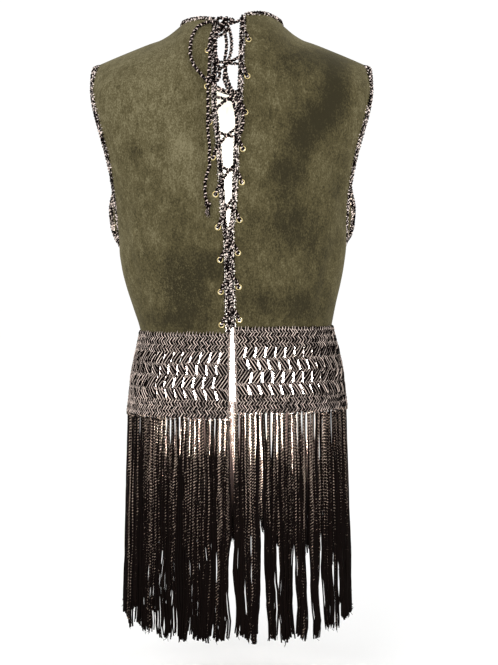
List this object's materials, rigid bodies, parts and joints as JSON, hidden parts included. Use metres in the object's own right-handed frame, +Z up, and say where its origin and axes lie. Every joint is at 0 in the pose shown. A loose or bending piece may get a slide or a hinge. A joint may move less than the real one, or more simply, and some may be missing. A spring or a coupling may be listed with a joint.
{
  "type": "suede vest",
  "caption": "Sleeveless suede vest that laces up the back through metal eyelets, with crochet edgings, an openwork crochet hip band and a long yarn fringe.",
  "frame": {"origin": "on the shoulder line midway between the shoulders, where the wearer holds the vest up", "axes": "+Z up along the body, -Y towards the laced back, +X towards the wearer's right"},
  "size_m": [0.3771, 0.2506, 0.8159],
  "materials": {
    "suede": "brushed olive suede, matt",
    "crochet": "crocheted two-tone wool, brown-black and pinkish beige",
    "yarn": "loose dark brown wool",
    "cord": "two-ply twisted cord, black and off-white",
    "brass": "polished pale brass"
  },
  "bodies": {
    "root": {"back_left": "suede", "back_right": "suede", "front": "suede", "eyelet_left_1": "brass", "eyelet_left_2": "brass", "eyelet_left_3": "brass", "eyelet_left_4": "brass", "eyelet_left_5": "brass", "eyelet_left_6": "brass", "eyelet_left_7": "brass", "eyelet_left_8": "brass", "eyelet_left_9": "brass", "eyelet_right_1": "brass", "eyelet_right_2": "brass", "eyelet_right_3": "brass", "eyelet_right_4": "brass", "eyelet_right_5": "brass", "eyelet_right_6": "brass", "eyelet_right_7": "brass", "eyelet_right_8": "brass", "eyelet_right_9": "brass", "armhole_trim_left": "crochet", "armhole_trim_right": "crochet", "neck_trim": "crochet", "opening_trim_left": "crochet", "opening_trim_right": "crochet", "band_left": "crochet", "band_right": "crochet", "lace_left": "cord", "lace_right": "cord", "lace_knot": "cord", "lace_end_knot": "cord", "lace_loop_left": "cord", "lace_loop_gap": "cord", "lace_tail": "cord", "fringe_left": "yarn", "fringe_right": "yarn"}
  },
  "joints": []
}
